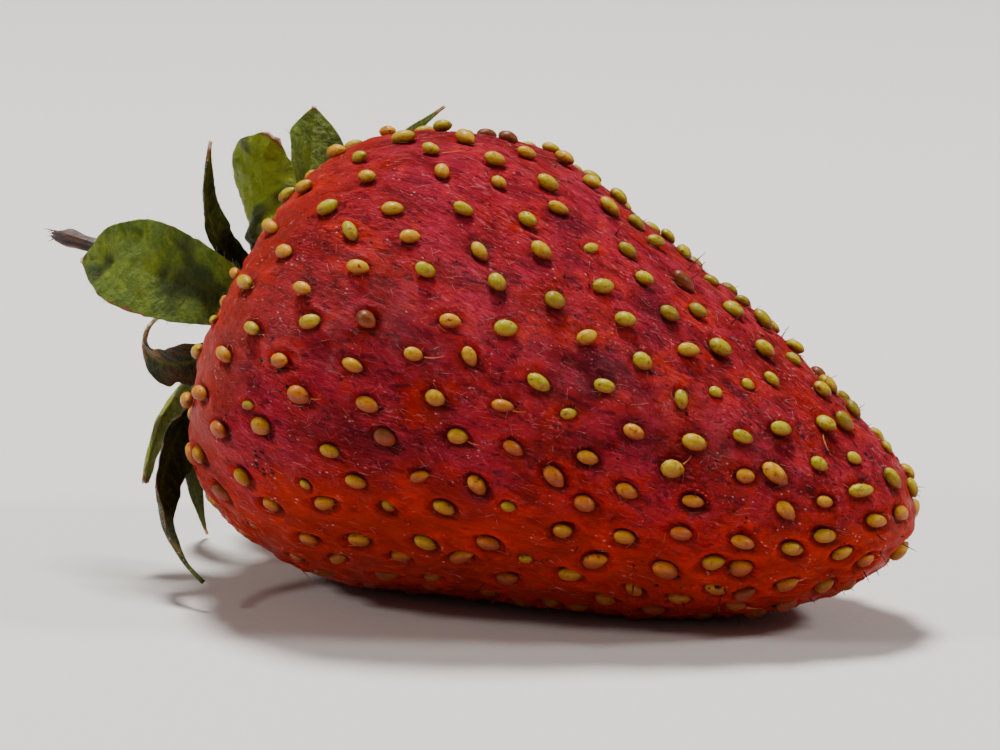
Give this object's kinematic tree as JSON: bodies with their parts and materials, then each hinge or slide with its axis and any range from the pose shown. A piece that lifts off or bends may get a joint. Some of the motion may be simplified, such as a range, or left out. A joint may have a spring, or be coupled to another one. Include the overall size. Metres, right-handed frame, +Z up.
{
  "type": "strawberry",
  "caption": "Whole ripe strawberry lying on its side, with seeds standing out of the skin, a leafy calyx of drying sepals and bractlets, and the torn end of its stalk.",
  "frame": {"origin": "on the ground, under the middle of the whole strawberry's bounding box", "axes": "+Z up, +X from the calyx to the tip of the fruit, +Y to the side"},
  "size_m": [0.0606, 0.0346, 0.0305],
  "materials": {
    "fruit_flesh": "moist satin skin of a ripe strawberry",
    "calyx_green": "matte living plant",
    "stalk_skin": "matte living plant, drying",
    "leaf_green": "matte leaf"
  },
  "bodies": {
    "root": {"fruit": "fruit_flesh", "calyx_disc": "calyx_green", "stalk": "stalk_skin", "sepal_1": "leaf_green", "sepal_2": "leaf_green", "sepal_3": "leaf_green", "sepal_4": "leaf_green", "sepal_5": "leaf_green", "sepal_6": "leaf_green", "bractlet_1": "leaf_green", "bractlet_2": "leaf_green", "bractlet_3": "leaf_green", "bractlet_4": "leaf_green", "bractlet_5": "leaf_green", "bractlet_6": "leaf_green"}
  },
  "joints": []
}
